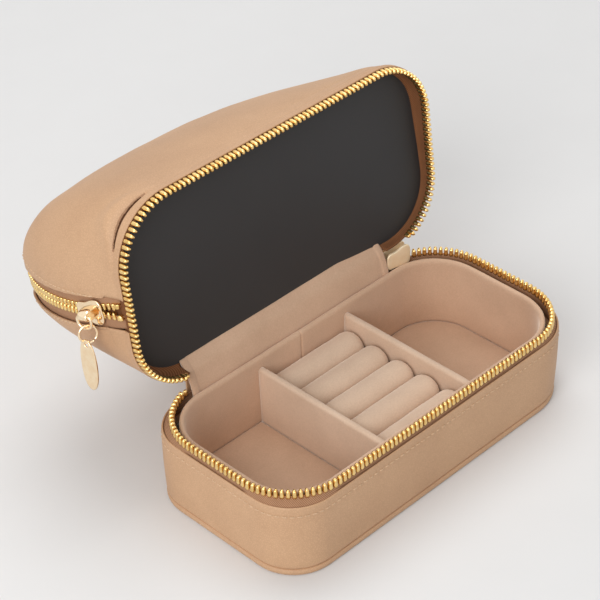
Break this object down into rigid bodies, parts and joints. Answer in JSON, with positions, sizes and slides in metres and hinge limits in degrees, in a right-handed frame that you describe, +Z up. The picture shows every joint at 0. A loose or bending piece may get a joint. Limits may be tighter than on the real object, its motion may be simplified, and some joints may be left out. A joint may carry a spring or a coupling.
{
  "type": "travel jewelry case",
  "caption": "Travel jewelry case: a velvet-lined hard box with compartments and ring rolls under a soft zipped pouch that hinges open as its lid.",
  "frame": {"origin": "middle of the underside", "axes": "+X along the length to the right, -Y to the front, +Z up; the lid stands open behind"},
  "size_m": [0.1996, 0.1717, 0.1369],
  "materials": {
    "leather": "fine-grained tan leather",
    "board": "grey pressed board",
    "velvet": "beige velvet",
    "zip_tape": "woven brown tape",
    "zip_brass": "polished brass",
    "pale_gold": "polished pale gold plating",
    "lining": "thin woven lining",
    "dark_panel": "smooth dark grey panel"
  },
  "bodies": {
    "box": {"box_leather_wall": "leather", "box_wall_board": "board", "box_base_leather": "leather", "box_base_board": "board", "box_liner_wall": "velvet", "box_floor_left": "velvet", "box_floor_right": "velvet", "divider_left": "velvet", "divider_right": "velvet", "ring_roll_bed": "velvet", "ring_roll_1": "velvet", "ring_roll_2": "velvet", "ring_roll_3": "velvet", "ring_roll_4": "velvet", "ring_roll_5": "velvet", "box_zip_tape": "zip_tape", "box_zip_teeth": "zip_brass", "box_zip_stops": "zip_brass", "hinge_spine": "leather", "hinge_lining": "velvet"},
    "lid": {"lid_hinge_lining": "velvet", "lid_zip_tape": "zip_tape", "lid_zip_teeth": "zip_brass", "lid_zip_stops": "zip_brass", "lid_board": "board", "lid_dark_panel": "dark_panel", "pouch_front_panel": "leather", "pouch_back_panel": "leather", "pouch_front_lining": "lining", "pouch_back_lining": "lining", "pouch_zip_tapes": "zip_tape", "pouch_zip_teeth_front": "zip_brass", "pouch_zip_teeth_back": "zip_brass", "pouch_zip_stops": "zip_brass"},
    "main_slider": {"main_slider": "pale_gold"},
    "main_bail": {"main_bail": "pale_gold"},
    "main_ring": {"main_ring": "pale_gold"},
    "main_tab": {"main_tab": "pale_gold"},
    "pouch_slider": {"pouch_slider": "pale_gold"},
    "pouch_bail": {"pouch_bail": "pale_gold"},
    "pouch_ring": {"pouch_ring": "pale_gold"},
    "pouch_tab": {"pouch_tab": "pale_gold"}
  },
  "joints": [
    {"name": "lid_hinge", "type": "hinge", "parent": "box", "child": "lid", "pos_m": [0, 0.04455, 0.0477], "axis": [-1, 0, 0], "range_deg": [-96, 0]},
    {"name": "main_slider_travel", "type": "hinge", "parent": "box", "child": "main_slider", "pos_m": [0.061, 0.016, 0.04185], "axis": [0, 0, -1], "range_deg": [0, 75]},
    {"name": "main_bail_swing", "type": "hinge", "parent": "main_slider", "child": "main_bail", "pos_m": [0.06496, 0.04942, 0.04185], "axis": [0.9931, -0.1177, 0], "range_deg": [0, 75]},
    {"name": "main_ring_swing", "type": "hinge", "parent": "main_bail", "child": "main_ring", "pos_m": [0.06496, 0.04942, 0.03665], "axis": [0.9931, -0.1177, 0], "range_deg": [0, 60]},
    {"name": "main_tab_swing", "type": "hinge", "parent": "main_ring", "child": "main_tab", "pos_m": [0.06496, 0.04942, 0.03025], "axis": [0.1177, 0.9931, 0], "range_deg": [-45, 45]},
    {"name": "pouch_slider_travel", "type": "hinge", "parent": "lid", "child": "pouch_slider", "pos_m": [-0.0156, 0.07912, 0.08368], "axis": [0, -0.2588, -0.9659], "range_deg": [0, 30]},
    {"name": "pouch_bail_swing", "type": "hinge", "parent": "pouch_slider", "child": "pouch_bail", "pos_m": [-0.0992, 0.06297, 0.08801], "axis": [-0.1961, 0.9472, -0.2538], "range_deg": [0, 110]},
    {"name": "pouch_ring_swing", "type": "hinge", "parent": "pouch_bail", "child": "pouch_ring", "pos_m": [-0.0992, 0.06163, 0.08299], "axis": [-0.1961, 0.9472, -0.2538], "range_deg": [0, 60]},
    {"name": "pouch_tab_swing", "type": "hinge", "parent": "pouch_ring", "child": "pouch_tab", "pos_m": [-0.0992, 0.05997, 0.07681], "axis": [-0.9806, -0.1894, 0.0507], "range_deg": [-45, 45]}
  ]
}
